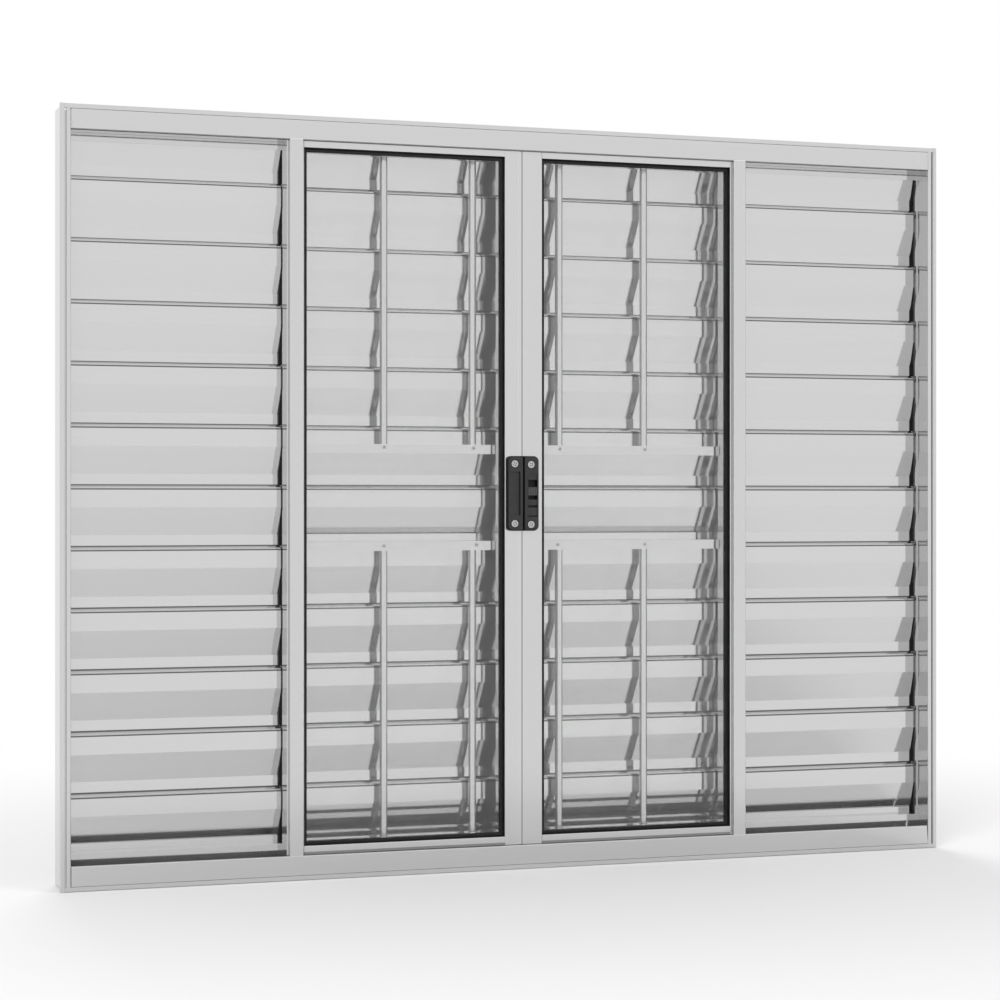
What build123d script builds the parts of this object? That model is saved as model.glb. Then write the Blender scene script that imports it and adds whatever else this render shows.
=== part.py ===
from build123d import *
import os

os.makedirs("parts", exist_ok=True)

# Shuttered window, seen from the room. X runs to the right, Y runs outwards through
# the window, Z runs up. The origin is on the sill's flat underside, at mid-width and
# mid-depth. Sizes are in millimetres. In a section, u is the distance across the piece
# from its outer edge, and d is the distance outwards from the frame's front plane.

# Frame
overall_width = 1500
overall_height = 1200
frame_depth = 85
flange_lap = 6           # the front flange laps the wall this far beyond the body
wall = 1.6               # wall of the frame's profiles
jamb_face = 17
fascia_face = 38.5
jamb_lip = 7
jamb_groove = 2.8
jamb_bead_radius = 2
fascia_lip = 7
fascia_groove = 1.3
lip_depth = 4
lip_radius = 2.5
groove_depth = 2.2
fascia_groove_depth = 1
edge_radius = 1.2
corner_gap = 0.4         # open joint between a jamb and the head or the sill
corner_taper = 1.8       # how much wider that joint gets towards the opening
corner_hole = 3.5        # hole at the top end of a jamb's groove
track_edge = 30          # how far the track fins reach inwards
slot_width = 6           # slots at the ends of the sliding leaves' stiles
drain_length = 30        # drain slots through the sill's upstand
drain_height = 5
drain_offset = 420
ledge_edge = 22          # the ledge that carries the fixed shutters

# Mullions
mullion_offset = 380     # from the window's middle to a mullion's middle
mullion_width = 22.5
mullion_depth = 7.5
mullion_radius = 2
mullion_tongue = 12      # how far a mullion's ends run in behind the fascias

# Glass sashes
sash_front = 8           # front plane, from the frame's front plane
sash_depth = 30
sash_wall = 1.5
sash_overlap = 14        # beyond the mullion's middle
sash_end = 22            # a leaf's end, from the frame's outer edge
outer_stile_width = 28
meeting_stile_edge = 32  # a meeting stile's inner edge, from the window's middle
meeting_line = -2.6      # where the two glass leaves meet
meeting_lip = 5.4
meeting_lip_step = 0.6
meeting_gap = 0.3
sash_top_edge = 49       # the rails' inner edges, from the frame's outer edge
sash_bottom_edge = 52.5
glass_recess = 5         # from the sash's face to its glazing groove
groove_width = 12
groove_floor = 12
glass_thickness = 4
glass_bite = 9
gasket_lap = 6           # how far the gasket shows beyond the sash
gasket_front = 6.4       # its front, from the sash's face
gasket_radius = 1.1
fit_gap = 0.3

# Shutters
shutter_wall = 1.5
fixed_front = 38.5
fixed_depth = 21
sliding_front = 62.5
sliding_depth = 20
shutter_top_edge = 51    # the rails' inner edges, from the frame's outer edge
shutter_bottom_edge = 54
fixed_stile_width = 28
sliding_stile_width = 22
sliding_overlap = 16     # beyond the mullion's middle
sliding_meeting_width = 25
slat_recess = 2.5        # from a shutter's front plane to its slats
slat_pitch = 95.3
slat_wall = 1.2
slat_flat = 30.4
slat_slope = 43
slat_set_back = 13
slat_drop = 6            # a slat's lower edge, below the middle of the next bead
slat_trim = 8            # cut off the lowest slat by the bottom rail
bead_height = 5          # the nose along a slat's top edge
bead_slope = 10          # how far the nose leans outwards over that height
bead_radius = 0.7
bead_proud = 0.6
bead_groove = 1.6        # height and depth of the groove under the nose
slat_end_gap = 5.8       # beside the fixed slats' outer ends, closed by a black seal
seal_depth = 5
slat_inner_gap = 1.5     # beside their inner ends
inner_seal_depth = 13
seat_flange = 21         # a stile's flange behind the slats' ends

# Grille
bar_height = 15
bar_depth = 16
bar_wall = 1.5
grille_axis = 48         # from the frame's front plane
upper_bar_middle = 78.5  # from the window's middle height
lower_bar_middle = -77.5
rod_diameter = 12.7
rod_pitch = 150
rods = 4

# Latch
latch_height = 121
latch_middle = 7         # from the window's middle height
latch_body_width = 28
latch_keeper_width = 26
latch_thickness = 9.5
latch_radius = 8
latch_edge_radius = 1.5
latch_gap = 0.3
grip_width = 16.7
grip_height = 70
grip_depth = 7           # at the side near the meeting line
grip_shallow = 1         # at the far side
grip_inset = 6.2         # from the meeting line to the grip's near side
window_inset = 7.1
window_width = 15.8
window_height = 72
window_drop = 4          # the window's middle, below the latch's
window_depth = 6.5
slider_gap = 0.4
slider_height = 50
slider_plate = 2.5
block_height = 17
block_thickness = 7
block_lift = 8           # the thumb block's middle, above the window's
pocket_height = 12
pocket_depth = 1.6
pocket_gap = 1.5

front = -frame_depth / 2
half_width = overall_width / 2
mid_height = overall_height / 2 - flange_lap
half_height = overall_height / 2
jamb_inner = half_width - jamb_face
sash_outer = mullion_offset + sash_overlap
sash_opening = sash_outer - outer_stile_width
leaf_half_height = half_height - sash_end
sash_high = half_height - sash_top_edge
sash_low = sash_bottom_edge - half_height
slats_top = half_height - shutter_top_edge
slats_bottom = shutter_bottom_edge - half_height
fixed_inner = sash_outer
sliding_outer = mullion_offset + sliding_overlap
head_length = 2 * (jamb_inner - corner_gap)
lip_length = 2 * (half_width - jamb_lip - corner_gap)
fin_middles = (sash_front + sash_depth / 2, sliding_front + sliding_depth / 2)


def rect(u0, u1, d0, d1):
    """A rectangle in a section, from its two sides in u and in d."""
    return Pos((u0 + u1) / 2, (d0 + d1) / 2) * Rectangle(u1 - u0, d1 - d0)


def box(x0, x1, d0, d1, z0, z1):
    """A block, from its sides: x and z from the window's middle, d from the front."""
    middle = ((x0 + x1) / 2, front + (d0 + d1) / 2, mid_height + (z0 + z1) / 2)
    return Pos(*middle) * Box(x1 - x0, d1 - d0, z1 - z0)


def corner(sketch, u, d):
    """The corner of a section that lies nearest to a point."""
    return sketch.vertices().sort_by_distance((u, d, 0))[0]


def upright(section, x, z0, z1, flip=False):
    """A section standing up from z0 to z1. Its u runs to +X from x, or to -X if flipped."""
    solid = extrude(Plane((0, 0, 0), x_dir=(1, 0, 0), z_dir=(0, 0, 1)) * section, z1 - z0)
    if flip:
        solid = mirror(solid, Plane.YZ)
    return Pos(x, front, mid_height + z0) * solid


def level(section, x0, x1, z, down=False):
    """A section lying from x0 to x1. Its u runs up from z, or down if asked."""
    solid = extrude(Plane((0, 0, 0), x_dir=(0, 0, 1), z_dir=(-1, 0, 0)) * section, x1 - x0)
    if down:
        solid = mirror(solid, Plane.XY)
    return Pos(x1, front, mid_height + z) * solid


def notched(stile, middle):
    """A sliding leaf's stile, with both ends slotted for the track fins."""
    reach = half_height - track_edge - fit_gap
    for z0, z1 in ((-half_height, -reach), (reach, half_height)):
        stile -= box(-half_width, half_width, middle - slot_width / 2, middle + slot_width / 2, z0, z1)
    return stile


def jamb_section():
    """Hollow jamb: rounded lip, dark groove and bead in front, tube behind."""
    face = rect(0, jamb_face, 0, lip_depth)
    face -= rect(jamb_lip, jamb_lip + jamb_groove, 0, groove_depth)
    face = fillet(corner(face, 0, 0), lip_radius)
    for u in (jamb_lip + jamb_groove, jamb_face):
        face = fillet(corner(face, u, 0), jamb_bead_radius)
    tube = rect(flange_lap, jamb_face, lip_depth - wall, frame_depth)
    tube -= rect(flange_lap + wall, jamb_face - wall, lip_depth, frame_depth - wall)
    return face + tube


def frame_section():
    """Head and sill: fascia, flat base, track fins, ledge and outer upstand."""
    fascia = rect(0, fascia_face, 0, lip_depth)
    fascia -= rect(fascia_lip + fascia_groove, fascia_face - lip_depth, wall, lip_depth)
    fascia -= rect(fascia_lip, fascia_lip + fascia_groove, 0, fascia_groove_depth)
    fascia = fillet(corner(fascia, 0, 0), lip_radius)
    fascia = fillet(corner(fascia, fascia_face, 0), edge_radius)
    base = rect(flange_lap, flange_lap + wall, wall, frame_depth)
    upstand = rect(flange_lap, fascia_face, frame_depth - wall, frame_depth)
    ledge = rect(flange_lap, ledge_edge, fixed_front, fixed_front + fixed_depth)
    ledge -= rect(flange_lap + wall, ledge_edge - wall, fixed_front + wall,
                  fixed_front + fixed_depth - wall)
    section = fascia + base + upstand + ledge
    for middle in fin_middles:
        section += rect(flange_lap, track_edge, middle - wall / 2, middle + wall / 2)
    return section


def lip_section():
    """Front of the lip of the head and the sill, which runs on over the jambs' beads."""
    section = fillet(corner(rect(0, fascia_lip, 0, lip_depth), 0, 0), lip_radius)
    return section & rect(0, fascia_lip, 0, groove_depth)


def taper_cut(side, end):
    """The thin wedge that widens a joint towards the opening. end is 1 at the head, -1 at the sill."""
    x = side * head_length / 2
    start = end * (half_height - fascia_lip - fascia_groove)
    stop = end * (half_height - fascia_face)
    outline = Polygon((x, start), (x, stop), (x - side * corner_taper, stop), align=None)
    return Pos(0, front, mid_height) * extrude(Plane.XZ * outline, -lip_depth)


def frame_member(end):
    """The head, or the sill if end is -1, with its tapered joints and its longer lip."""
    member = level(frame_section(), -head_length / 2, head_length / 2, end * half_height, down=end > 0)
    for side in (-1, 1):
        member -= taper_cut(side, end)
    return member + level(lip_section(), -lip_length / 2, lip_length / 2, end * half_height, down=end > 0)


def jamb():
    """Left jamb, cut under the lips of the head and the sill, with a hole atop its groove."""
    post = upright(jamb_section(), -half_width, -half_height, half_height)
    reach = half_height - fascia_lip - corner_gap
    for z0, z1 in ((-half_height, -reach), (reach, half_height)):
        post -= box(-half_width + jamb_lip, -jamb_inner, 0, lip_depth - wall, z0, z1)
    hole0 = -half_width + jamb_lip + (jamb_groove - corner_hole) / 2
    return post - box(hole0, hole0 + corner_hole, 0, lip_depth, reach - corner_hole, reach)


def mullion_section():
    """Slim hollow mullion with rounded front edges."""
    section = rect(0, mullion_width, 0, mullion_depth)
    for u in (0, mullion_width):
        section = fillet(corner(section, u, 0), mullion_radius)
    return section - rect(wall, mullion_width - wall, wall, mullion_depth - wall)


def sash_section(width, rail=False, lip=True):
    """Sash profile: u from its outer edge to the glass, with a glazing groove.

    Behind the pane, a lip reaches in as far as the gasket does. A rail's outer edge is
    open towards its track fin."""
    back = sash_front + sash_depth
    groove_front = sash_front + glass_recess
    groove_back = groove_front + groove_width
    inner = width + gasket_lap if lip else width
    section = rect(0, width, sash_front, back) + rect(0, inner, groove_back, back)
    section = fillet(corner(section, width, sash_front), edge_radius)
    section -= rect(width - groove_floor, width, groove_front, groove_back)
    web = width - groove_floor - sash_wall
    foot = track_edge + fit_gap - sash_end if rail else 0
    section -= rect(foot + sash_wall, web, sash_front + sash_wall, back - sash_wall)
    section -= rect(web + sash_wall, inner - sash_wall, groove_back + sash_wall, back - sash_wall)
    section -= rect(0, foot, sash_front + sash_wall, back - sash_wall) if rail else Sketch()
    return section


def sash_stile(width, x, flip):
    """A glass leaf's stile, its lip cut away where the rails meet it."""
    z1 = leaf_half_height
    stile = upright(sash_section(width, lip=False), x, -z1, z1, flip)
    stile += upright(sash_section(width), x, sash_low + gasket_lap, sash_high - gasket_lap, flip)
    return notched(stile, fin_middles[0])


def shutter_rail_section(width, d0, depth):
    """Shutter rail: u from its outer edge to the slats, open towards the track."""
    foot = track_edge + fit_gap - sash_end
    section = rect(0, width, d0, d0 + depth)
    section -= rect(0, foot, d0 + shutter_wall, d0 + depth - shutter_wall)
    section -= rect(foot + shutter_wall, width - shutter_wall, d0 + shutter_wall, d0 + depth - shutter_wall)
    return section


def shutter_stile_section(width, d0, depth, flange):
    """Shutter stile: a hollow post, with a flange behind the slats' ends."""
    seat = d0 + slat_recess + slat_set_back + slat_wall + fit_gap
    section = rect(0, width, d0, d0 + depth)
    if width > 3 * shutter_wall:
        section -= rect(shutter_wall, width - shutter_wall, d0 + shutter_wall, d0 + depth - shutter_wall)
    if flange:
        section += rect(0, width + flange, seat, seat + shutter_wall)
    return section


def slat_section(d0):
    """One slat: bead, upright facet, facet sloping outwards, and a lower facet.

    Here u runs up from the middle of the bead, and each slat laps the next one below."""
    face = d0 + slat_recess
    back = face + slat_set_back
    top = bead_height / 2
    foot = -top - bead_groove
    tip = face - bead_proud
    knee = -top - slat_flat
    bend = knee - slat_slope
    end = -slat_pitch - slat_drop
    profile = Polygon((0, face + slat_wall), (knee, face + slat_wall), (bend, back + slat_wall),
                      (end, back + slat_wall), (end, back), (bend, back), (knee, face), (0, face), align=None)
    profile -= rect(foot, 0, face, face + slat_wall)
    profile += rect(foot - slat_wall, -top, face + slat_wall, face + bead_groove + slat_wall)
    profile -= rect(foot, -top, face, face + bead_groove)
    nose = Polygon((-top, tip), (top, face + bead_slope), (top, back - fit_gap),
                   (top - slat_wall, back - fit_gap), (-top, face + bead_groove + slat_wall), align=None)
    return profile + fillet(corner(nose, -top, tip), bead_radius)


def slats(x0, x1, d0, depth):
    """The slats of one shutter, from the bottom rail up, the top one cut by its rail."""
    first = slats_bottom + slat_pitch - slat_trim
    count = int((slats_top - first + slat_pitch) / slat_pitch) + 1
    field = box(x0, x1, d0, d0 + depth, slats_bottom, slats_top)
    pieces = []
    for k in range(count):
        slat = level(slat_section(d0), x0, x1, first + k * slat_pitch) & field
        pieces += slat.solids()
    return Compound(children=pieces)


def glass_sash(side):
    """Leaf with glass: two stiles and two rails. side is -1 left, 1 right."""
    meeting_edge = meeting_line + side * meeting_gap
    near = side * meeting_stile_edge
    far = side * sash_opening
    outer = sash_stile(outer_stile_width, side * sash_outer, side > 0)
    meeting = sash_stile(abs(near - meeting_edge), meeting_edge, side < 0)
    if side < 0:
        meeting -= box(meeting_edge - meeting_lip, meeting_edge, sash_front, sash_front + meeting_lip_step,
                       -half_height, half_height)
    x0 = min(near, far)
    x1 = max(near, far)
    bottom = level(sash_section(sash_bottom_edge - sash_end, rail=True), x0, x1, -leaf_half_height)
    top = level(sash_section(sash_top_edge - sash_end, rail=True), x0, x1, leaf_half_height, down=True)
    return outer, meeting, top, bottom


def ring(x0, x1, grow, d0, d1):
    """A block as large as a sash's opening, grown on all sides."""
    return box(x0 - grow, x1 + grow, d0, d1, sash_low - grow, sash_high + grow)


def gasket_and_pane(side):
    """Rubber channel round the pane's edge, and the pane in it."""
    x0 = min(side * meeting_stile_edge, side * sash_opening)
    x1 = max(side * meeting_stile_edge, side * sash_opening)
    near = sash_front + gasket_front
    groove_back = sash_front + glass_recess + groove_width
    pane_front = sash_front + glass_recess + (groove_width - glass_thickness) / 2
    pane_back = pane_front + glass_thickness
    bite = glass_bite
    pane = ring(x0, x1, bite, pane_front, pane_back)
    rubber = ring(x0, x1, bite + sash_wall, near, groove_back)
    rubber -= ring(x0, x1, -gasket_lap, near, groove_back)
    seen = ring(x0, x1, 0, near - gasket_lap, near + gasket_radius)
    inner = [edge for edge in rubber.faces().sort_by(Axis.Y)[0].edges() if seen.is_inside(edge.center())]
    rubber = fillet(inner, gasket_radius)
    return rubber - pane, pane


def shutter_rails(x0, x1, d0, depth):
    """Top and bottom rails of a shutter."""
    top = shutter_rail_section(shutter_top_edge - sash_end, d0, depth)
    bottom = shutter_rail_section(shutter_bottom_edge - sash_end, d0, depth)
    return (level(top, x0, x1, leaf_half_height, down=True),
            level(bottom, x0, x1, -leaf_half_height))


def fixed_shutter():
    """Fixed shutter on the left: stiles, rails, slats and the seals beside them."""
    z1 = leaf_half_height
    outer = upright(shutter_stile_section(shutter_wall, fixed_front, fixed_depth, seat_flange),
                    -jamb_inner, -z1, z1)
    inner = upright(shutter_stile_section(fixed_stile_width, fixed_front, fixed_depth, seat_flange),
                    -fixed_inner + fixed_stile_width, -z1, z1, flip=True)
    x0 = -jamb_inner + shutter_wall
    x1 = -fixed_inner
    seat = fixed_front + slat_recess + slat_set_back + slat_wall + fit_gap
    top, bottom = shutter_rails(x0, x1, fixed_front, seat - fixed_front)
    end0 = -jamb_inner + slat_end_gap
    end1 = x1 - slat_inner_gap
    blades = slats(end0, end1, fixed_front, fixed_depth)
    seals = [box(x0, end0 - fit_gap, seat - seal_depth, seat, slats_bottom, slats_top),
             box(end1 + fit_gap, x1, seat - inner_seal_depth, seat, slats_bottom, slats_top)]
    return outer, inner, top, bottom, blades, seals


def sliding_shutter():
    """Sliding shutter on the left: stiles, rails and slats."""
    z1 = leaf_half_height
    outer = upright(shutter_stile_section(sliding_stile_width, sliding_front, sliding_depth, 0),
                    -sliding_outer, -z1, z1)
    meeting = upright(shutter_stile_section(sliding_meeting_width - meeting_gap, sliding_front,
                                            sliding_depth, 0), -meeting_gap, -z1, z1, flip=True)
    outer = notched(outer, fin_middles[1])
    meeting = notched(meeting, fin_middles[1])
    x0 = -sliding_outer + sliding_stile_width
    x1 = -sliding_meeting_width
    top, bottom = shutter_rails(x0, x1, sliding_front, sliding_depth)
    blades = slats(x0, x1, sliding_front, sliding_depth)
    return outer, meeting, top, bottom, blades


def grille():
    """Security grille: two flat bars, and rods from them to the head and the sill."""
    d0 = grille_axis - bar_depth / 2
    d1 = grille_axis + bar_depth / 2
    reach = fixed_inner - fixed_stile_width
    bars = []
    for middle in (upper_bar_middle, lower_bar_middle):
        bar = box(-reach, reach, d0, d1, middle - bar_height / 2, middle + bar_height / 2)
        bar -= box(-reach, reach, d0 + bar_wall, d1 - bar_wall, middle - bar_height / 2 + bar_wall,
                   middle + bar_height / 2 - bar_wall)
        bars.append(bar)
    upper = []
    lower = []
    ledge = half_height - ledge_edge
    for k in range(rods):
        x = (k - (rods - 1) / 2) * rod_pitch
        z = upper_bar_middle + bar_height / 2
        upper.append(Pos(x, front + grille_axis, mid_height + (z + ledge) / 2)
                     * Cylinder(rod_diameter / 2, ledge - z))
        z = lower_bar_middle - bar_height / 2
        lower.append(Pos(x, front + grille_axis, mid_height + (z - ledge) / 2)
                     * Cylinder(rod_diameter / 2, z + ledge))
    return bars, upper, lower


def latch_half(x0, x1, outer):
    """A latch half on a meeting stile's face. Its corners are rounded on the outer side."""
    z0 = latch_middle - latch_height / 2
    half = box(x0, x1, sash_front - latch_thickness, sash_front, z0, z0 + latch_height)
    corners = half.edges().filter_by(Axis.Y).sort_by(lambda edge: abs(edge.center().X - outer))[:2]
    half = fillet(corners, latch_radius)
    return fillet(half.faces().sort_by(Axis.Y)[0].edges(), latch_edge_radius)


def latch():
    """Central latch: a body with a finger grip, and a keeper with a sliding button."""
    face = sash_front - latch_thickness
    body = latch_half(meeting_line - latch_body_width, meeting_line - latch_gap,
                      meeting_line - latch_body_width)
    near = meeting_line - grip_inset
    far = near - grip_width
    grip = Polygon((far, face - grip_shallow), (near, face - grip_shallow), (near, face + grip_depth),
                   (far, face + grip_shallow), align=None)
    body -= Pos(0, front, mid_height + latch_middle - grip_height / 2) * extrude(grip, grip_height)

    keeper = latch_half(meeting_line + latch_gap, meeting_line + latch_keeper_width,
                        meeting_line + latch_keeper_width)
    x0 = meeting_line + window_inset
    x1 = x0 + window_width
    middle = latch_middle - window_drop
    floor = face + window_depth
    keeper -= box(x0, x1, face, floor, middle - window_height / 2, middle + window_height / 2)

    x0 += slider_gap
    x1 -= slider_gap
    block0 = middle + block_lift - block_height / 2
    block1 = block0 + block_height
    slider = box(x0, x1, floor - slider_plate, floor, middle - slider_height / 2, middle + slider_height / 2)
    slider += box(x0, x1, floor - block_thickness, floor, block0, block1)
    slider = fillet(slider.faces().sort_by(Axis.Y)[0].edges(), latch_edge_radius)
    for z in (block0 - pocket_gap - pocket_height, block1 + pocket_gap):
        slider -= box(x0 + pocket_gap, x1 - pocket_gap, floor - slider_plate,
                      floor - slider_plate + pocket_depth, z, z + pocket_height)
    return body, keeper, slider


def save(name, shape):
    """Writes one node, as one solid or as a group of solids."""
    if isinstance(shape, list):
        shape = Compound(children=[piece for part in shape for piece in part.solids()])
    export_step(shape, f"parts/{name}.step")


def save_pair(name, shape):
    """Writes a piece of the left side and its mirror image on the right."""
    save(f"left_{name}", shape)
    save(f"right_{name}", mirror(shape, Plane.YZ))


head = frame_member(1)
save("frame_head", head)
sill = frame_member(-1)
mullion_reach = half_height - fascia_face + mullion_tongue
mullion = upright(mullion_section(), -mullion_offset - mullion_width / 2, -mullion_reach, mullion_reach)
save_pair("mullion", mullion - head - sill)
drain_base = flange_lap + wall - half_height
for x in (-drain_offset, 0, drain_offset):
    sill -= box(x - drain_length / 2, x + drain_length / 2, frame_depth - wall, frame_depth,
                drain_base, drain_base + drain_height)
save("frame_sill", sill)
save_pair("jamb", jamb())

for side, label in ((-1, "left"), (1, "right")):
    outer, meeting, top, bottom = glass_sash(side)
    save(f"{label}_sash_outer_stile", outer)
    save(f"{label}_sash_meeting_stile", meeting)
    save(f"{label}_sash_top_rail", top)
    save(f"{label}_sash_bottom_rail", bottom)
    rubber, pane = gasket_and_pane(side)
    save(f"{label}_sash_gasket", rubber)
    save(f"{label}_sash_glass", pane)

outer, inner, top, bottom, blades, seals = fixed_shutter()
save_pair("fixed_shutter_outer_stile", outer)
save_pair("fixed_shutter_inner_stile", inner)
save_pair("fixed_shutter_top_rail", top)
save_pair("fixed_shutter_bottom_rail", bottom)
save_pair("fixed_shutter_slats", blades)
save("shutter_seals", seals + [mirror(seal, Plane.YZ) for seal in seals])

outer, meeting, top, bottom, blades = sliding_shutter()
save_pair("sliding_shutter_outer_stile", outer)
save_pair("sliding_shutter_meeting_stile", meeting)
save_pair("sliding_shutter_top_rail", top)
save_pair("sliding_shutter_bottom_rail", bottom)
save_pair("sliding_shutter_slats", blades)

bars, upper, lower = grille()
save("grille_bars", bars)
save("grille_upper_rods", upper)
save("grille_lower_rods", lower)

body, keeper, slider = latch()
save("latch_body", body)
save("latch_keeper", keeper)
save("latch_slider", slider)
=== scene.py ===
import bmesh
import bpy
import math
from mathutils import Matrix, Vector


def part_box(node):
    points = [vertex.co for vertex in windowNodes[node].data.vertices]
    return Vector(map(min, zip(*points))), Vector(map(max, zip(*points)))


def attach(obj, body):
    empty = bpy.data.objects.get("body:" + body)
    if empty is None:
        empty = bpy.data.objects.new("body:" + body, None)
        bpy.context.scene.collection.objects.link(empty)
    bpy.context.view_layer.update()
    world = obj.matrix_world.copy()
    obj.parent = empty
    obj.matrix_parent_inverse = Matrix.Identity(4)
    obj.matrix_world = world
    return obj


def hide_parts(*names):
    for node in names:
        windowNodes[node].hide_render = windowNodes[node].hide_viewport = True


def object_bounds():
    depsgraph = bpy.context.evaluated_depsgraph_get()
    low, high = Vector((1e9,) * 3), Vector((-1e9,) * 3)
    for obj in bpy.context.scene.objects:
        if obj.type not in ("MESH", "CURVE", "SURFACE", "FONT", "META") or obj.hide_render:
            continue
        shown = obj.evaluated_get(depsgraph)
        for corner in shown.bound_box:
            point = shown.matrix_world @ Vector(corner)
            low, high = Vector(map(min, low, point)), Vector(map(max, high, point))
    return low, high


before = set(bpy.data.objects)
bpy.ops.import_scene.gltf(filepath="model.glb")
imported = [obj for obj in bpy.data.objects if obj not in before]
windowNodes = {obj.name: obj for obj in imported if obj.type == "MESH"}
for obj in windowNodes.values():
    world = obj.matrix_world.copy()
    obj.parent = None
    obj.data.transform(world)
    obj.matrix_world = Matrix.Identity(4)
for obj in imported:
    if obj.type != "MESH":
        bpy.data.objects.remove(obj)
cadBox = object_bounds()
print("frame loaded:", len(windowNodes), "nodes")

mm = 0.001
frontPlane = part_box("left_jamb")[0].y  # the frame's front face
midHeight = (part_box("left_jamb")[0].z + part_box("left_jamb")[1].z) / 2


def at(x, depth, z):
    # millimetres from the window's middle and from the frame's front, in metres of the frame
    return (x * mm, frontPlane + depth * mm, midHeight + z * mm)


# small helpers for edit mode

def deselectAll():
    if bpy.context.mode != "OBJECT":
        bpy.ops.object.mode_set(mode="OBJECT")
    bpy.ops.object.select_all(action="DESELECT")


def makeActive(piece):
    deselectAll()
    piece.select_set(True)
    bpy.context.view_layer.objects.active = piece


def addBox(name, low, high):
    deselectAll()
    centre = [(a + b) / 2 for a, b in zip(low, high)]
    bpy.ops.mesh.primitive_cube_add(size=1, location=centre)
    piece = bpy.context.active_object
    piece.name = name
    piece.scale = [b - a for a, b in zip(low, high)]
    bpy.ops.object.transform_apply(location=True, rotation=True, scale=True)
    return piece


def addDisc(name, x, y, z, radius, depth, sides=48):
    # a short cylinder whose axis runs along Y, from y to y + depth
    deselectAll()
    bpy.ops.mesh.primitive_cylinder_add(vertices=sides, radius=radius, depth=depth,
                                        location=(x, y + depth / 2, z), rotation=(math.pi / 2, 0, 0))
    piece = bpy.context.active_object
    piece.name = name
    bpy.ops.object.transform_apply(location=True, rotation=True, scale=True)
    return piece


def startEdit(piece, kind):
    makeActive(piece)
    bpy.ops.object.mode_set(mode="EDIT")
    bpy.ops.mesh.select_mode(type=kind)


def pick(piece, kind, test):
    # selects the vertices, edges or faces whose middle and direction pass the test
    mesh = bmesh.from_edit_mesh(piece.data)
    bpy.ops.mesh.select_mode(type={"verts": "VERT", "edges": "EDGE", "faces": "FACE"}[kind])
    bpy.ops.mesh.select_all(action="DESELECT")
    for part in getattr(mesh, kind):
        if kind == "verts":
            chosen = test(part.co, None)
        elif kind == "edges":
            a, b = part.verts
            chosen = test((a.co + b.co) / 2, (b.co - a.co).normalized())
        else:
            chosen = test(part.calc_center_median(), part.normal)
        part.select_set(bool(chosen))
    mesh.select_flush_mode()
    bmesh.update_edit_mesh(piece.data)


def slicePiece(point, normal):
    # cuts the whole piece with a plane and keeps both sides
    bpy.ops.mesh.select_all(action="SELECT")
    bpy.ops.mesh.bisect(plane_co=point, plane_no=normal)


def applyModifier(piece, kind, **settings):
    makeActive(piece)
    modifier = piece.modifiers.new(kind.lower(), kind)
    for key, value in settings.items():
        setattr(modifier, key, value)
    bpy.ops.object.modifier_apply(modifier=modifier.name)


def cutOut(piece, cutter):
    applyModifier(piece, "BOOLEAN", operation="DIFFERENCE", solver="EXACT", object=cutter)
    bpy.data.objects.remove(cutter)


def finishPiece(piece, material, nodes=(), angle=35):
    makeActive(piece)
    bpy.ops.object.shade_smooth_by_angle(angle=math.radians(angle))
    piece.data.materials.clear()
    piece.data.materials.append(material)
    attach(piece, "root")
    if nodes:
        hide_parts(*nodes)
    return piece


# shared shader groups

def newGroup(name, inputs, outputs):
    group = bpy.data.node_groups.new(name, "ShaderNodeTree")
    for label, kind, value in inputs:
        socket = group.interface.new_socket(name=label, in_out="INPUT", socket_type=kind)
        if value is not None:
            socket.default_value = value
    for label, kind in outputs:
        group.interface.new_socket(name=label, in_out="OUTPUT", socket_type=kind)
    return group, group.nodes.new("NodeGroupInput"), group.nodes.new("NodeGroupOutput")


def addNode(tree, kind, inputs=None, **settings):
    node = tree.nodes.new(kind)
    for key, value in settings.items():
        setattr(node, key, value)
    for key, value in (inputs or {}).items():
        if isinstance(value, bpy.types.NodeSocket):
            tree.links.new(value, node.inputs[key])
        else:
            node.inputs[key].default_value = value
    return node


def mathNode(tree, operation, a, b=0.0, c=0.0):
    return addNode(tree, "ShaderNodeMath", {0: a, 1: b, 2: c}, operation=operation).outputs[0]


def makeGrainGroup():
    # drawn-metal grain: the vector comes in stretched so that one unit is one fine line
    group, entry, leave = newGroup("drawnGrain",
                                   [("Vector", "NodeSocketVector", None), ("Shade Range", "NodeSocketFloat", 0.05),
                                    ("Base Roughness", "NodeSocketFloat", 0.2),
                                    ("Roughness Range", "NodeSocketFloat", 0.06)],
                                   [("Shade", "NodeSocketFloat"), ("Roughness", "NodeSocketFloat"),
                                    ("Height", "NodeSocketFloat")])
    vector = entry.outputs["Vector"]
    fine = addNode(group, "ShaderNodeTexNoise", {"Vector": vector, "Scale": 1.0, "Detail": 3.0, "Roughness": 0.6})
    broad = addNode(group, "ShaderNodeTexNoise", {"Vector": vector, "Scale": 0.16, "Detail": 2.0})
    lines = mathNode(group, "ADD", mathNode(group, "MULTIPLY", fine.outputs["Fac"], 0.6),
                     mathNode(group, "MULTIPLY", broad.outputs["Fac"], 0.4))
    centred = mathNode(group, "SUBTRACT", lines, 0.5)
    shade = mathNode(group, "MULTIPLY_ADD", centred, entry.outputs["Shade Range"], 1.0)
    rough = mathNode(group, "MULTIPLY_ADD", centred, entry.outputs["Roughness Range"], entry.outputs["Base Roughness"])
    group.links.new(shade, leave.inputs["Shade"])
    group.links.new(rough, leave.inputs["Roughness"])
    group.links.new(lines, leave.inputs["Height"])
    return group


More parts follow.
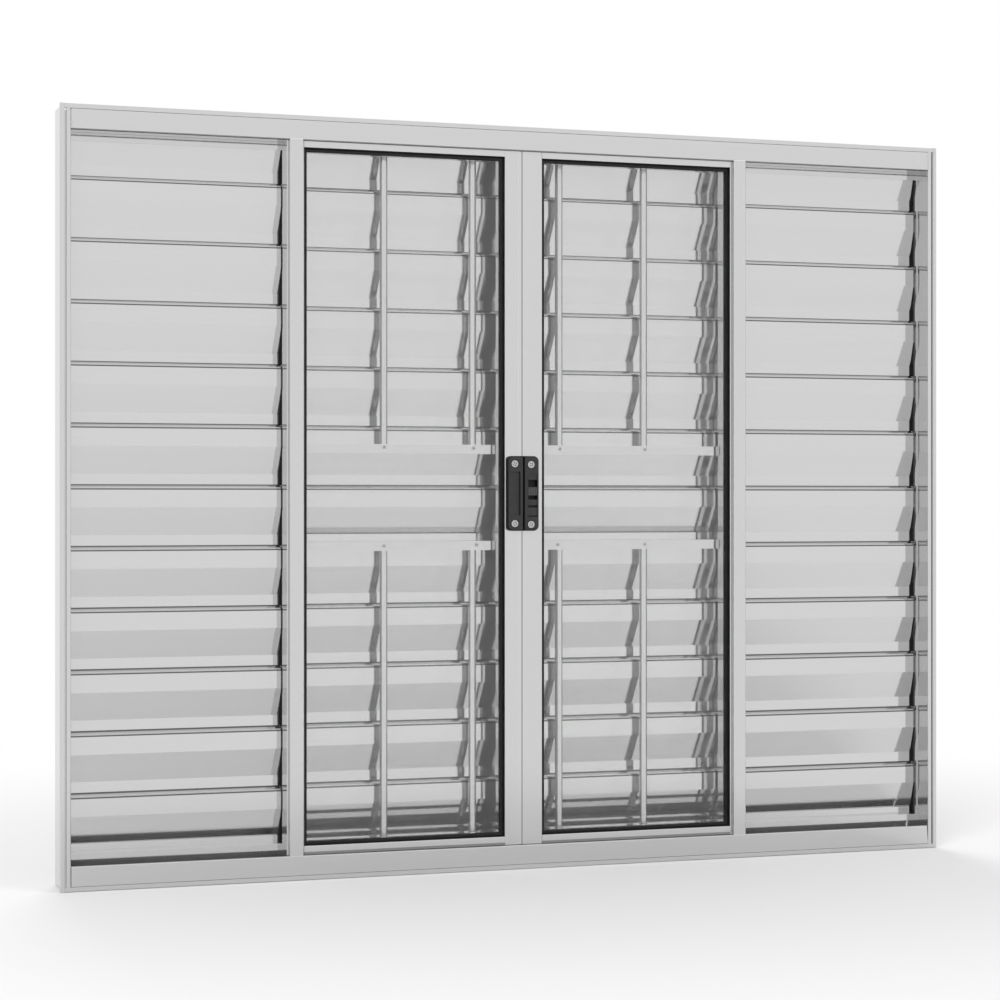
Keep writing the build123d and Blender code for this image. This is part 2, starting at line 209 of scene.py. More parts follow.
def makeEdgeGroup():
    # 1 on sharp outer edges, 0 on flats, from a slightly rounded normal
    group, entry, leave = newGroup("edgeMask", [("Sharpness", "NodeSocketFloat", 6.0)], [("Mask", "NodeSocketFloat")])
    rounded = addNode(group, "ShaderNodeBevel", {"Radius": 0.0007}, samples=4)
    flat = group.nodes.new("ShaderNodeNewGeometry")
    dot = addNode(group, "ShaderNodeVectorMath", {0: rounded.outputs[0], 1: flat.outputs["Normal"]},
                  operation="DOT_PRODUCT")
    mask = mathNode(group, "MULTIPLY", mathNode(group, "SUBTRACT", 1.0, dot.outputs["Value"]),
                    entry.outputs["Sharpness"])
    clamped = addNode(group, "ShaderNodeClamp", {"Value": mask})
    group.links.new(clamped.outputs[0], leave.inputs["Mask"])
    return group


slatRows = {"beadPart": 0.027, "leafWidth": 0.375}


def makeSlatGroup():
    # each slat leans a little differently, as a height that is a ramp over one slat
    group, entry, leave = newGroup("slatLean",
                                   [("Vector", "NodeSocketVector", None), ("Pitch", "NodeSocketFloat", 0.0953),
                                    ("First Bead", "NodeSocketFloat", 0.1353), ("Lean", "NodeSocketFloat", 0.005)],
                                   [("Height", "NodeSocketFloat"), ("From Bead", "NodeSocketFloat")])
    place = addNode(group, "ShaderNodeSeparateXYZ", {0: entry.outputs["Vector"]})
    rows = mathNode(group, "DIVIDE", mathNode(group, "SUBTRACT", place.outputs["Z"], entry.outputs["First Bead"]),
                    entry.outputs["Pitch"])
    # a bead belongs to the slat below it, and each leaf has its own column
    row = mathNode(group, "FLOOR", mathNode(group, "SUBTRACT", rows, slatRows["beadPart"]))
    column = mathNode(group, "FLOOR", mathNode(group, "DIVIDE", place.outputs["X"], slatRows["leafWidth"]))
    seed = addNode(group, "ShaderNodeCombineXYZ", {0: row, 1: column})
    dice = addNode(group, "ShaderNodeTexWhiteNoise", {"Vector": seed.outputs[0]}, noise_dimensions="3D")
    centred = mathNode(group, "SUBTRACT", dice.outputs["Value"], 0.5)
    lean = mathNode(group, "MULTIPLY", centred, entry.outputs["Lean"])
    group.links.new(mathNode(group, "MULTIPLY", lean, place.outputs["Z"]), leave.inputs["Height"])
    # height above the nearest bead, in metres
    part = mathNode(group, "WRAP", rows, 0.5, -0.5)
    group.links.new(mathNode(group, "MULTIPLY", part, entry.outputs["Pitch"]), leave.inputs["From Bead"])
    return group


def makePaintedShadeGroup():
    # painted shade: 1 on the surface, falling to the Dark share in a narrow line, on faces that look to the room
    group, entry, leave = newGroup("paintedShadeLine",
                                   [("Height", "NodeSocketFloat", 0.0), ("Middle", "NodeSocketFloat", 0.0),
                                    ("Half Width", "NodeSocketFloat", 0.0008), ("Dark", "NodeSocketFloat", 0.3)],
                                   [("Shade", "NodeSocketFloat")])
    away = mathNode(group, "ABSOLUTE", mathNode(group, "SUBTRACT", entry.outputs["Height"], entry.outputs["Middle"]))
    part = mathNode(group, "DIVIDE", away, entry.outputs["Half Width"])
    line = addNode(group, "ShaderNodeMapRange", {"Value": part, "From Min": 0.75, "From Max": 1.25, "To Min": 0.0,
                                                 "To Max": 1.0}).outputs[0]
    facing = addNode(group, "ShaderNodeSeparateXYZ", {0: group.nodes.new("ShaderNodeNewGeometry").outputs["Normal"]})
    behind = addNode(group, "ShaderNodeMapRange", {"Value": facing.outputs["Y"], "From Min": -0.1, "From Max": 0.0,
                                                   "To Min": 0.0, "To Max": 1.0}).outputs[0]
    shown = mathNode(group, "MAXIMUM", line, behind)
    lift = mathNode(group, "SUBTRACT", 1.0, entry.outputs["Dark"])
    group.links.new(mathNode(group, "MULTIPLY_ADD", shown, lift, entry.outputs["Dark"]), leave.inputs["Shade"])
    return group


grainGroup = makeGrainGroup()
edgeGroup = makeEdgeGroup()
slatGroup = makeSlatGroup()
paintedShadeGroup = makePaintedShadeGroup()


# materials

def startMaterial(name):
    material = bpy.data.materials.new(name)
    material.use_nodes = True
    tree = material.node_tree
    tree.nodes.clear()
    surface = tree.nodes.new("ShaderNodeBsdfPrincipled")
    output = tree.nodes.new("ShaderNodeOutputMaterial")
    tree.links.new(surface.outputs[0], output.inputs["Surface"])
    return material, tree, surface


def fillGroup(tree, group, inputs):
    node = tree.nodes.new("ShaderNodeGroup")
    node.node_tree = group
    for key, value in inputs.items():
        if isinstance(value, bpy.types.NodeSocket):
            tree.links.new(value, node.inputs[key])
        else:
            node.inputs[key].default_value = value
    return node


def drawnMetal(name, look):
    material, tree, surface = startMaterial(name)
    coordinates = tree.nodes.new("ShaderNodeTexCoord").outputs["Object"]
    stretched = addNode(tree, "ShaderNodeMapping", {"Vector": coordinates, "Scale": look["linesPerMetre"]})
    grain = fillGroup(tree, grainGroup, {"Vector": stretched.outputs[0], "Shade Range": look["shadeRange"],
                                         "Base Roughness": look["roughness"],
                                         "Roughness Range": look["roughnessRange"]})
    edge = fillGroup(tree, edgeGroup, {"Sharpness": look["edgeSharpness"]})
    shade = mathNode(tree, "MULTIPLY", grain.outputs["Shade"], look["tone"])
    # painted highlight: the colour is lighter along sharp edges
    bright = mathNode(tree, "MULTIPLY_ADD", edge.outputs["Mask"], look["paintedEdgeHighlight"], shade)
    if "lean" in look:
        slat = fillGroup(tree, slatGroup, {"Vector": coordinates, "Pitch": look["pitch"],
                                           "First Bead": look["firstBead"], "Lean": look["lean"]})
        # painted shade in the grooves on both sides of each slat's bead
        for middle, halfWidth, dark in look["grooves"]:
            groove = fillGroup(tree, paintedShadeGroup, {"Height": slat.outputs["From Bead"], "Middle": middle * mm,
                                                   "Half Width": halfWidth * mm, "Dark": dark})
            bright = mathNode(tree, "MULTIPLY", bright, groove.outputs["Shade"])
    if "lines" in look:
        # painted shade lines along a profile's grooves, gaps and edges, by their place in millimetres
        place = addNode(tree, "ShaderNodeSeparateXYZ", {0: coordinates}).outputs[look["lineAxis"]]
        for middle, halfWidth, dark in look["lines"]:
            groove = fillGroup(tree, paintedShadeGroup, {"Height": place, "Middle": middle * mm,
                                                   "Half Width": halfWidth * mm, "Dark": dark})
            bright = mathNode(tree, "MULTIPLY", bright, groove.outputs["Shade"])
    colour = addNode(tree, "ShaderNodeCombineColor", {0: bright, 1: bright, 2: bright})
    tree.links.new(colour.outputs[0], surface.inputs["Base Color"])
    tree.links.new(grain.outputs["Roughness"], surface.inputs["Roughness"])
    surface.inputs["Metallic"].default_value = look["metal"]  # the clear oxide layer scatters a little
    fineBump = addNode(tree, "ShaderNodeBump", {"Height": grain.outputs["Height"], "Strength": look["bump"],
                                                "Distance": 0.0001})
    if "lean" in look:
        wave = addNode(tree, "ShaderNodeTexNoise", {"Vector": addNode(
            tree, "ShaderNodeMapping", {"Vector": coordinates, "Scale": look["waveScale"]}).outputs[0],
            "Scale": 1.0, "Detail": 1.0})
        height = mathNode(tree, "MULTIPLY_ADD", wave.outputs["Fac"], look["waveHeight"], slat.outputs["Height"])
        leanBump = addNode(tree, "ShaderNodeBump", {"Height": height, "Strength": 1.0, "Distance": 1.0})
        tree.links.new(leanBump.outputs[0], fineBump.inputs["Normal"])
    tree.links.new(fineBump.outputs[0], surface.inputs["Normal"])
    return material


profileLook = {"tone": 0.6, "metal": 0.9, "shadeRange": 0.06, "roughness": 0.085, "roughnessRange": 0.05, "bump": 0.12,
               "edgeSharpness": 6.0, "paintedEdgeHighlight": 0.2}
# painted shade lines on the uprights: in the jambs' grooves, the right one darker than the left, and in the sashes'
# meeting gap
uprightMetal = drawnMetal("uprightAluminium", {**profileLook, "linesPerMetre": (620, 620, 3), "lineAxis": "X",
                                               "lines": ((-741.6, 0.9, 0.7), (741.4, 0.8, 0.2), (-2.6, 0.5, 0.3))})
# painted shade lines near the frame's top and bottom edges and along the fascia's lower edge
levelMetal = drawnMetal("levelAluminium", {**profileLook, "linesPerMetre": (3, 620, 620), "lineAxis": "Z",
                                           "lines": ((1.6, 0.6, 0.5), (1186.4, 0.6, 0.5), (1155.9, 0.5, 0.45))})
# the sash rails: a painted shade band low above the sill, and a painted shade line along the fascia's lower edge
sashMetal = drawnMetal("sashAluminium", {**profileLook, "linesPerMetre": (3, 620, 620), "lineAxis": "Z",
                                         "lines": ((34.8, 2.2, 0.45), (1155.9, 0.5, 0.45))})
rodMetal = drawnMetal("rodAluminium", {**profileLook, "linesPerMetre": (700, 700, 4)})
# slats: painted shade in the grooves beside each bead, and a faint painted edge highlight
slatMetal = drawnMetal("slatAluminium", {
    "tone": 0.63, "metal": 0.94, "shadeRange": 0.07, "roughness": 0.085, "roughnessRange": 0.04, "bump": 0.1,
    "edgeSharpness": 6.0, "paintedEdgeHighlight": 0.04, "linesPerMetre": (2, 600, 600),
    "pitch": 0.0953, "firstBead": 0.1353, "lean": 0.024, "waveScale": (1.2, 1, 3), "waveHeight": 0.00012,
    "grooves": ((-4.3, 1.05, 0.2), (2.1, 1.05, 0.26))})


def clearGlass():
    material, tree, surface = startMaterial("clearGlass")
    coordinates = tree.nodes.new("ShaderNodeTexCoord").outputs["Object"]
    surface.inputs["Base Color"].default_value = (0.985, 0.99, 0.985, 1)
    surface.inputs["IOR"].default_value = 1.5
    surface.inputs["Transmission Weight"].default_value = 1.0
    smear = addNode(tree, "ShaderNodeTexNoise", {"Vector": coordinates, "Scale": 9.0, "Detail": 4.0})
    rough = addNode(tree, "ShaderNodeMapRange", {"Value": smear.outputs["Fac"], "From Min": 0.55, "From Max": 0.8,
                                                 "To Min": 0.0, "To Max": 0.012})
    tree.links.new(rough.outputs[0], surface.inputs["Roughness"])
    ripple = addNode(tree, "ShaderNodeTexNoise", {"Vector": coordinates, "Scale": 5.0, "Detail": 1.0})
    bump = addNode(tree, "ShaderNodeBump", {"Height": ripple.outputs["Fac"], "Strength": 0.15, "Distance": 0.0002})
    tree.links.new(bump.outputs[0], surface.inputs["Normal"])
    # shadow rays pass straight through, so that what is behind the pane is lit
    passThrough = tree.nodes.new("ShaderNodeBsdfTransparent")
    rays = tree.nodes.new("ShaderNodeLightPath")
    mix = addNode(tree, "ShaderNodeMixShader", {0: rays.outputs["Is Shadow Ray"], 1: surface.outputs[0],
                                                2: passThrough.outputs[0]})
    output = next(n for n in tree.nodes if n.type == "OUTPUT_MATERIAL")
    tree.links.new(mix.outputs[0], output.inputs["Surface"])
    return material


def dullBlack(name, look):
    material, tree, surface = startMaterial(name)
    coordinates = tree.nodes.new("ShaderNodeTexCoord").outputs["Object"]
    cloud = addNode(tree, "ShaderNodeTexNoise", {"Vector": coordinates, "Scale": look["cloudScale"], "Detail": 4.0})
    tone = addNode(tree, "ShaderNodeMapRange", {"Value": cloud.outputs["Fac"], "From Min": 0.3, "From Max": 0.7,
                                                "To Min": look["dark"], "To Max": look["pale"]}).outputs[0]
    # painted shade: full colour on faces that look straight to the front, darker down to the rim share on faces that
    # turn away
    facing = addNode(tree, "ShaderNodeSeparateXYZ", {0: tree.nodes.new("ShaderNodeNewGeometry").outputs["Normal"]})
    front = addNode(tree, "ShaderNodeMapRange", {"Value": facing.outputs["Y"], "From Min": -0.8, "From Max": -0.985,
                                                 "To Min": look["rim"], "To Max": 1.0}).outputs[0]
    tone = mathNode(tree, "MULTIPLY", tone, front)
    # painted shade: darker with depth behind the front face, in recesses
    depth = addNode(tree, "ShaderNodeSeparateXYZ", {0: coordinates}).outputs["Y"]
    paintedRecessFactor = addNode(tree, "ShaderNodeMapRange", {"Value": depth, "From Min": frontPlane + 0.5 * mm,
                                                "From Max": frontPlane + 2.5 * mm, "To Min": 1.0,
                                                "To Max": look["paintedRecessShade"]}).outputs[0]
    tone = mathNode(tree, "MULTIPLY", tone, paintedRecessFactor)
    colour = addNode(tree, "ShaderNodeCombineColor", {0: tone, 1: tone, 2: tone})
    tree.links.new(colour.outputs[0], surface.inputs["Base Color"])
    rough = addNode(tree, "ShaderNodeMapRange", {"Value": cloud.outputs["Fac"], "From Min": 0.3, "From Max": 0.7,
                                                 "To Min": look["roughness"] - 0.06,
                                                 "To Max": look["roughness"] + 0.06})
    tree.links.new(rough.outputs[0], surface.inputs["Roughness"])
    surface.inputs["Specular IOR Level"].default_value = look["shine"]
    pebble = addNode(tree, "ShaderNodeTexNoise", {"Vector": coordinates, "Scale": look["pebbleScale"], "Detail": 2.0})
    bump = addNode(tree, "ShaderNodeBump", {"Height": pebble.outputs["Fac"], "Strength": look["bump"],
                                            "Distance": 0.0002})
    tree.links.new(bump.outputs[0], surface.inputs["Normal"])
    return material


def screwSteel():
    material, tree, surface = startMaterial("screwSteel")
    coordinates = tree.nodes.new("ShaderNodeTexCoord").outputs["Object"]
    spots = addNode(tree, "ShaderNodeTexNoise", {"Vector": coordinates, "Scale": 900.0, "Detail": 3.0})
    tone = addNode(tree, "ShaderNodeMapRange", {"Value": spots.outputs["Fac"], "To Min": 0.4, "To Max": 0.56})
    # painted shade: the walls of the recess, the head's skirt and any face turned from the front are darker
    facing = addNode(tree, "ShaderNodeSeparateXYZ", {0: tree.nodes.new("ShaderNodeNewGeometry").outputs["Normal"]})
    paintedSideShade = addNode(tree, "ShaderNodeMapRange", {"Value": facing.outputs["Y"], "From Min": -0.6, "From Max": -0.85,
                                                 "To Min": 0.12, "To Max": 1.0}).outputs[0]
    tone = mathNode(tree, "MULTIPLY", tone.outputs[0], paintedSideShade)
    colour = addNode(tree, "ShaderNodeCombineColor", {0: tone, 1: tone, 2: tone})
    tree.links.new(colour.outputs[0], surface.inputs["Base Color"])
    rough = addNode(tree, "ShaderNodeMapRange", {"Value": spots.outputs["Fac"], "To Min": 0.16, "To Max": 0.32})
    tree.links.new(rough.outputs[0], surface.inputs["Roughness"])
    surface.inputs["Metallic"].default_value = 1.0
    return material


glassMaterial = clearGlass()
# rim and the recess entry give the shares of painted shade on faces turned from the front and in recesses
rubberMaterial = dullBlack("gasketRubber", {"cloudScale": 60, "dark": 0.007, "pale": 0.013, "rim": 0.3, "paintedRecessShade": 1.0,
                                            "roughness": 0.4, "shine": 0.25, "pebbleScale": 1500, "bump": 0.25})
pileMaterial = dullBlack("sealPile", {"cloudScale": 200, "dark": 0.006, "pale": 0.014, "rim": 0.8, "paintedRecessShade": 1.0,
                                      "roughness": 0.85, "shine": 0.2, "pebbleScale": 2500, "bump": 0.8})
nylonLook = {"cloudScale": 90, "dark": 0.022, "pale": 0.03, "rim": 0.08, "paintedRecessShade": 1.0,
             "roughness": 0.45, "shine": 0.25, "pebbleScale": 2200, "bump": 0.35}
nylonMaterial = dullBlack("latchNylon", nylonLook)
keeperMaterial = dullBlack("keeperNylon", {**nylonLook, "paintedRecessShade": 0.12})
thumbMaterial = dullBlack("thumbNylon", {**nylonLook, "dark": 0.048, "pale": 0.062, "rim": 0.4, "cloudScale": 300})
steelMaterial = screwSteel()
print("materials made")


# CAD nodes get their finish by what they are

def finishFor(name):
    if "glass" in name:
        return glassMaterial
    if "gasket" in name:
        return rubberMaterial
    if "seals" in name:
        return pileMaterial
    if "latch" in name:
        return nylonMaterial
    if "slats" in name:
        return slatMetal
    if "rods" in name:
        return rodMetal
    if name.endswith(("stile", "jamb", "mullion")):
        return uprightMetal
    return sashMetal if "sash" in name else levelMetal


for name, node in windowNodes.items():
    node.data.materials.clear()
    node.data.materials.append(finishFor(name))
print("frame finished")


# gaskets: a rounded lip beside a narrow channel, in front of the pane and behind it

gasketLook = {"channel": 11.7, "lip": 4.8, "floor": 16.2, "front": 14.4, "paneFront": 17.0, "paneBack": 21.0,
              "back": 25.0, "round": 1.0}


def addRim(name, low, high, rims, front, thickness):
    # a flat frame of concentric bands that faces the room
    deselectAll()
    bpy.ops.mesh.primitive_plane_add(size=1, location=((low.x + high.x) / 2, front, (low.z + high.z) / 2),
                                     rotation=(math.pi / 2, 0, 0))
    piece = bpy.context.active_object
    piece.name = name
    piece.scale = (high.x - low.x, high.z - low.z, 1)
    bpy.ops.object.transform_apply(location=True, rotation=True, scale=True)
    startEdit(piece, "FACE")
    bpy.ops.mesh.select_all(action="SELECT")
    for rim in rims:
        bpy.ops.mesh.inset(thickness=rim * mm)
    bpy.ops.mesh.delete(type="FACE")
    applyModifier(piece, "SOLIDIFY", thickness=thickness * mm, offset=-1)
    return piece


def roundFront(piece, y, radius, segments):
    startEdit(piece, "EDGE")
    pick(piece, "edges", lambda middle, way: abs(middle.y - y) < 0.00001)
    bpy.ops.mesh.bevel(offset=radius * mm, segments=segments, affect="EDGES")
    deselectAll()


def makeGasket(side):
    look = gasketLook
    node = side + "_sash_gasket"
    low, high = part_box(node)
    front = addRim(side + "Gasket", low, high, (look["channel"], look["lip"]), frontPlane + look["floor"] * mm,
                   look["paneFront"] - look["floor"])
    startEdit(front, "FACE")

    def onLip(middle, normal):
        inwards = min(middle.x - low.x, high.x - middle.x, middle.z - low.z, high.z - middle.z)
        return normal.y < -0.9 and inwards > look["channel"] * mm

    pick(front, "faces", onLip)
    bpy.ops.mesh.extrude_region_move(TRANSFORM_OT_translate={"value": (0, (look["front"] - look["floor"]) * mm, 0)})
    roundFront(front, frontPlane + look["front"] * mm, look["round"], 3)
    back = addRim(side + "GasketBack", low, high, (look["channel"] + look["lip"],),
                  frontPlane + look["paneBack"] * mm, look["back"] - look["paneBack"])
    roundFront(back, frontPlane + look["back"] * mm, look["round"], 2)
    makeActive(front)
    back.select_set(True)
    bpy.ops.object.join()
    return finishPiece(front, rubberMaterial, [node])


for side in ("left", "right"):
    makeGasket(side)
print("gaskets made")


# brush pile beside the fixed shutters' slats: a pad behind each slope, none beside the upper facet

sealLook = {"pitch": 95.3, "firstBead": -458.7, "slats": 12, "from": 93.0, "to": 34.0, "round": 0.8,
            "shortest": 5.0,
            "limits": (-546.0, 549.0),
            "strips": ((727.4, 731.5, 50.5, 55.5), (390.8, 395.3, 42.5, 55.5))}


def makeSeals():
    look = sealLook
    bottom, top = look["limits"]
    pads = []
    for side in (-1, 1):
        for x0, x1, front, back in look["strips"]:
            xs = sorted((side * x0, side * x1))
            for k in range(look["slats"]):
                bead = look["firstBead"] + k * look["pitch"]
                z0, z1 = max(bead - look["from"], bottom), min(bead - look["to"], top)
                if z1 - z0 > look["shortest"]:
                    pad = addBox(f"pilePad{len(pads)}", at(xs[0], front, z0), at(xs[1], back, z1))
                    roundFront(pad, at(0, front, 0)[1], look["round"], 2)
                    pads.append(pad)
    deselectAll()
    for pad in pads:
        pad.select_set(True)
    bpy.context.view_layer.objects.active = pads[0]
    bpy.ops.object.join()
    pads[0].name = "sealPads"
    return finishPiece(pads[0], pileMaterial, ["shutter_seals"])


makeSeals()
print("seals made")


# head: the flange that turns in under the fascia, over the two fixed shutters, and a key behind the joint at
# the left. Both are made here only, the CAD has neither

def makeHeadFlange(side):
    look = {"outer": 733.0, "inner": 394.0, "front": 12.0, "back": 38.5, "low": 561.6, "high": 562.8}
    xs = sorted((side * look["outer"], side * look["inner"]))
    piece = addBox("headFlangeLeft" if side < 0 else "headFlangeRight", at(xs[0], look["front"], look["low"]),
                   at(xs[1], look["back"], look["high"]))
    return finishPiece(piece, levelMetal)


def makeCornerKey():
    # the key that closes the joint between the fascia's left end and the jamb
    look = {"outer": -732.9, "inner": -729.0, "front": 1.55, "back": 3.5, "low": 562.0, "high": 590.0}
    piece = addBox("headCornerKey", at(look["outer"], look["front"], look["low"]),
                   at(look["inner"], look["back"], look["high"]))
    return finishPiece(piece, levelMetal)


for side in (-1, 1):
    makeHeadFlange(side)
makeCornerKey()
print("head flanges made")


# latch: two moulded halves, each with two screws, and a thumb block in the right one

latchLook = {"low": -53.5, "high": 67.5, "face": -1.5, "back": 8.0, "corner": 8.5, "rim": 3.0,
             "body": (-30.6, -2.9), "keeper": (-2.3, 23.4),
             "grip": (-25.5, -8.8, -28.0, 42.0), "gripDeep": 3.2, "gripShallow": 0.6,
             "recess": (4.5, 20.3, -31.0, 39.0), "recessDepth": 1.0,
             "slots": ((-2.8, 29.0, 7.0), (-15.7, -12.2, 4.0), (-31.0, -28.7, 3.0)),
             "thumb": (4.9, 19.9, 3.8, 17.4), "thumbFront": -2.0, "thumbBack": 5.0, "thumbRibs": 5,
             "ribMargin": 0.25, "ribDepth": 0.4,
             "screws": ((-18.2, 54.9), (9.8, 53.7), (-18.2, -41.7), (9.8, -43.2)),
             "boreRadius": 7.0, "boreDepth": 1.6, "headRadius": 6.0, "headHeight": 2.0}


def latchHalf(name, xs, outer):
    look = latchLook
    piece = addBox(name, at(xs[0], look["face"], look["low"]), at(xs[1], look["back"], look["high"]))
    startEdit(piece, "EDGE")
    pick(piece, "edges", lambda middle, way: abs(way.y) > 0.9 and abs(middle.x - outer * mm) < 0.0001)
    bpy.ops.mesh.bevel(offset=look["corner"] * mm, segments=8, affect="EDGES")
    roundFront(piece, at(0, look["face"], 0)[1], look["rim"], 4)
    for x, z in look["screws"]:
        if xs[0] < x < xs[1]:
            place = at(x, look["face"] - 1, z)
            cutOut(piece, addDisc(name + "Bore", *place, look["boreRadius"] * mm, (look["boreDepth"] + 1) * mm, 40))
    return piece


def makeLatchBody():
    look = latchLook
    piece = latchHalf("latchBodyShell", look["body"], look["body"][0])
    x0, x1, z0, z1 = look["grip"]
    cutter = addBox("gripCutter", at(x0, look["face"] - 2, z0), at(x1, look["face"] + look["gripDeep"], z1))
    startEdit(cutter, "VERT")
    pick(cutter, "verts", lambda place, way: place.y > frontPlane and place.x < (x0 + x1) / 2 * mm)
    bpy.ops.transform.translate(value=(0, (look["gripShallow"] - look["gripDeep"]) * mm, 0))
    startEdit(cutter, "EDGE")
    pick(cutter, "edges", lambda middle, way: abs(way.y) > 0.9)
    bpy.ops.mesh.bevel(offset=1.2 * mm, segments=3, affect="EDGES")
    cutOut(piece, cutter)
    return finishPiece(piece, nylonMaterial, ["latch_body"])


def makeLatchKeeper():
    look = latchLook
    piece = latchHalf("latchKeeperShell", look["keeper"], look["keeper"][1])
    x0, x1, z0, z1 = look["recess"]
    cutOut(piece, addBox("recessCutter", at(x0, look["face"] - 2, z0), at(x1, look["face"] + look["recessDepth"], z1)))
    for low, high, depth in look["slots"]:
        cutOut(piece, addBox("slotCutter", at(x0 + 0.3, look["face"] - 2, low),
                             at(x1 - 0.3, look["face"] + depth, high)))
    return finishPiece(piece, keeperMaterial, ["latch_keeper"])


def makeThumbBlock():
    look = latchLook
    x0, x1, z0, z1 = look["thumb"]
    piece = addBox("latchThumbBlock", at(x0, look["thumbFront"], z0), at(x1, look["thumbBack"], z1))
    startEdit(piece, "FACE")
    count = look["thumbRibs"]
    for k in range(1, 2 * count):
        slicePiece(at(x0 + (x1 - x0) * k / (2 * count), 0, 0), (1, 0, 0))
    for k in range(count):
        middleX = (x0 + (x1 - x0) * (2 * k + 1.5) / (2 * count)) * mm
        pick(piece, "faces", lambda place, normal: normal.y < -0.9 and abs(place.x - middleX) < 0.0002)
        bpy.ops.mesh.inset(thickness=look["ribMargin"] * mm, depth=-look["ribDepth"] * mm)
    return finishPiece(piece, thumbMaterial, ["latch_slider"])


# a screw head's cross recess, as parts of the head's radius and height
screwLook = {"edge": 0.35, "armLength": 0.72, "armWidth": 0.17, "armDepth": 0.75, "armTaper": 0.45,
             "bowlRadius": 0.5, "bowlFoot": 0.22, "bowlDepth": 0.6}


def makeScrew(name, x, z, front, radius, height, turn):
    # a round head with its front edge rolled over, and a cross recess that narrows inwards
    piece = addDisc(name, *at(x, front, z), radius * mm, height * mm, 32)
    look = screwLook
    roundFront(piece, at(0, front, 0)[1], height * look["edge"], 3)
    length, width = radius * look["armLength"], radius * look["armWidth"]
    for quarter in (0, 1):
        arm = addBox(name + "Arm", at(x - length, front - 1, z - width),
                     at(x + length, front + height * look["armDepth"], z + width))
        startEdit(arm, "FACE")
        pick(arm, "faces", lambda place, normal: normal.y > 0.9)
        bpy.ops.transform.resize(value=(look["armTaper"], 1, 1))
        bpy.ops.mesh.select_all(action="SELECT")
        bpy.ops.transform.rotate(value=math.radians(turn + 90 * quarter), orient_axis="Y",
                                 center_override=at(x, front, z))
        deselectAll()
        cutOut(piece, arm)
    deselectAll()
    bowlDepth = height * look["bowlDepth"]
    bpy.ops.mesh.primitive_cone_add(vertices=20, radius1=radius * look["bowlRadius"] * mm,
                                    radius2=radius * look["bowlFoot"] * mm, depth=bowlDepth * mm,
                                    location=at(x, front + bowlDepth / 2 - 0.01, z),
                                    rotation=(-math.pi / 2, 0, 0))
    bowl = bpy.context.active_object
    bpy.ops.object.transform_apply(location=True, rotation=True, scale=True)
    cutOut(piece, bowl)
    return piece


def joinScrews(name, screws):
    deselectAll()
    for screw in screws:
        screw.select_set(True)
    bpy.context.view_layer.objects.active = screws[0]
    bpy.ops.object.join()
    screws[0].name = name
    return finishPiece(screws[0], steelMaterial, angle=40)


makeLatchBody()
makeLatchKeeper()
makeThumbBlock()
look = latchLook
joinScrews("latchScrews", [
    makeScrew(f"latchScrew{k}", x, z, look["face"] + look["boreDepth"] - look["headHeight"], look["headRadius"],
              look["headHeight"], 17 + 31 * k) for k, (x, z) in enumerate(look["screws"])])
print("latch made")

grilleLook = {"screws": ((-226.0, 80.9), (-75.1, 80.4), (74.3, 80.2), (225.0, 80.0),
                         (-226.3, -77.6), (-69.7, -76.3), (70.6, -76.7), (225.0, -77.0)),
              "barFront": 40.0, "headRadius": 2.6, "headHeight": 1.2}
look = grilleLook
joinScrews("grilleScrews", [
    makeScrew(f"grilleScrew{k}", x, z, look["barFront"] - look["headHeight"], look["headRadius"],
              look["headHeight"], 40 + 23 * k) for k, (x, z) in enumerate(look["screws"])])
print("grille screws made")


# studio: a white background, which metal and glass mirror too

studio = {
    "floorSize": 40.0,
    "plainLevel": 0.55,
    "lamps": [("keyLamp", (-2.5, -4.0, 3.5), 165), ("fillLamp", (3.0, -4.0, 2.0), 90),
              ("backLamp", (0.5, 4.5, 3.2), 115)],
    "lampTarget": (0, 0, 0.6),
    "lampSize": 3.0,
}


def directRays(tree):
    # 1 for the rays that see the background itself: from the camera, or by way of metal or glass
    rays = tree.nodes.new("ShaderNodeLightPath").outputs
    return mathNode(tree, "MAXIMUM", rays["Is Camera Ray"],
                    mathNode(tree, "MAXIMUM", rays["Is Glossy Ray"], rays["Is Transmission Ray"]))


def makeWorld():
    world = bpy.data.worlds.new("studio")
    bpy.context.scene.world = world
    world.use_nodes = True
    tree = world.node_tree
    tree.nodes.clear()
    # white for direct rays, and the plain level for diffuse light
    seen = addNode(tree, "ShaderNodeMix", {0: directRays(tree), 2: studio["plainLevel"], 3: 1.0}, data_type="FLOAT")
    background = addNode(tree, "ShaderNodeBackground", {"Color": (1, 1, 1, 1), "Strength": seen.outputs[0]})
    output = tree.nodes.new("ShaderNodeOutputWorld")
    tree.links.new(background.outputs[0], output.inputs["Surface"])


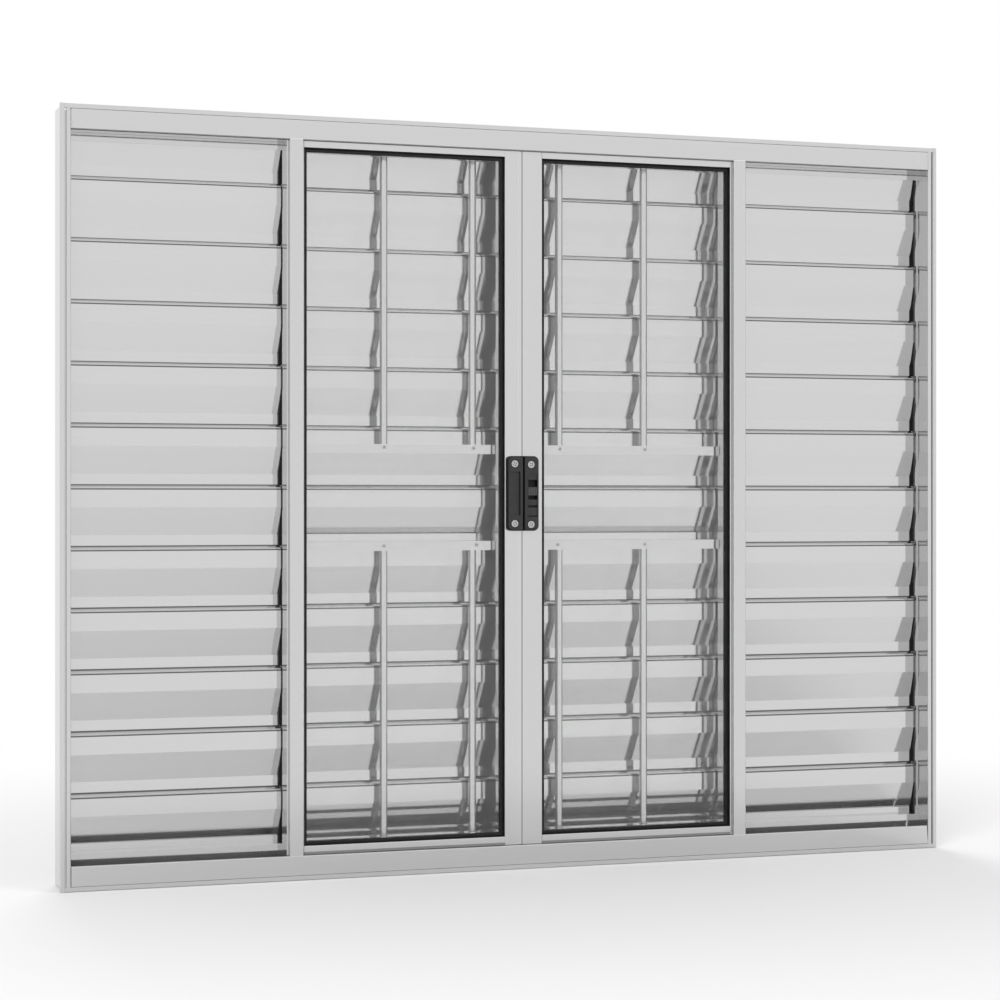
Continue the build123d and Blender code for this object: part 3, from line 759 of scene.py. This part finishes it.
def makeFloor():
    deselectAll()
    bpy.ops.mesh.primitive_plane_add(size=studio["floorSize"], location=(0, 0, cadBox[0].z - 0.0005))
    floor = bpy.context.active_object
    floor.name = "floor"
    bpy.ops.object.transform_apply(location=True, rotation=True, scale=True)
    material = bpy.data.materials.new("paleFloor")
    material.use_nodes = True
    tree = material.node_tree
    tree.nodes.clear()
    matt = addNode(tree, "ShaderNodeBsdfDiffuse", {"Color": (0.86, 0.86, 0.86, 1)})
    white = addNode(tree, "ShaderNodeEmission", {"Color": (1, 1, 1, 1), "Strength": 1.0})
    place = tree.nodes.new("ShaderNodeTexCoord").outputs["Object"]
    reach = addNode(tree, "ShaderNodeVectorMath", {0: place}, operation="LENGTH").outputs["Value"]
    far = addNode(tree, "ShaderNodeMapRange", {"Value": reach, "From Min": 0.5, "From Max": 2.2, "To Min": 0.0,
                                               "To Max": 1.0}, interpolation_type="SMOOTHSTEP")
    part = mathNode(tree, "MULTIPLY", far.outputs[0], directRays(tree))
    mix = addNode(tree, "ShaderNodeMixShader", {0: part, 1: matt.outputs[0], 2: white.outputs[0]})
    output = tree.nodes.new("ShaderNodeOutputMaterial")
    tree.links.new(mix.outputs[0], output.inputs["Surface"])
    floor.data.materials.append(material)


def addSoftLamp(name, place, target, size, power):
    deselectAll()
    bpy.ops.object.light_add(type="AREA", location=place)
    lamp = bpy.context.active_object
    lamp.name = name
    lamp.data.shape = "DISK"
    lamp.data.size = size
    lamp.data.energy = power
    lamp.rotation_euler = (Vector(target) - Vector(place)).to_track_quat("-Z", "Y").to_euler()
    lamp.visible_glossy = False
    lamp.visible_transmission = False


def addCamera():
    view = {"place": (-1.342, -3.7995, 0.5904), "turn": -19.07, "focalPixels": 2467, "sensor": 36, "width": 1000}
    deselectAll()
    bpy.ops.object.camera_add(location=view["place"], rotation=(math.radians(90), 0, math.radians(view["turn"])))
    camera = bpy.context.active_object
    camera.name = "photoCamera"
    camera.data.sensor_width = view["sensor"]
    camera.data.lens = view["focalPixels"] / view["width"] * view["sensor"]
    bpy.context.scene.camera = camera


makeWorld()
makeFloor()
for name, place, power in studio["lamps"]:
    addSoftLamp(name, place, studio["lampTarget"], studio["lampSize"], power)
addCamera()
bpy.context.scene.view_settings.view_transform = "Standard"
bpy.context.scene.cycles.max_bounces = 16
bpy.context.scene.cycles.glossy_bounces = 10  # the slats and the rails mirror one another
print("studio ready")
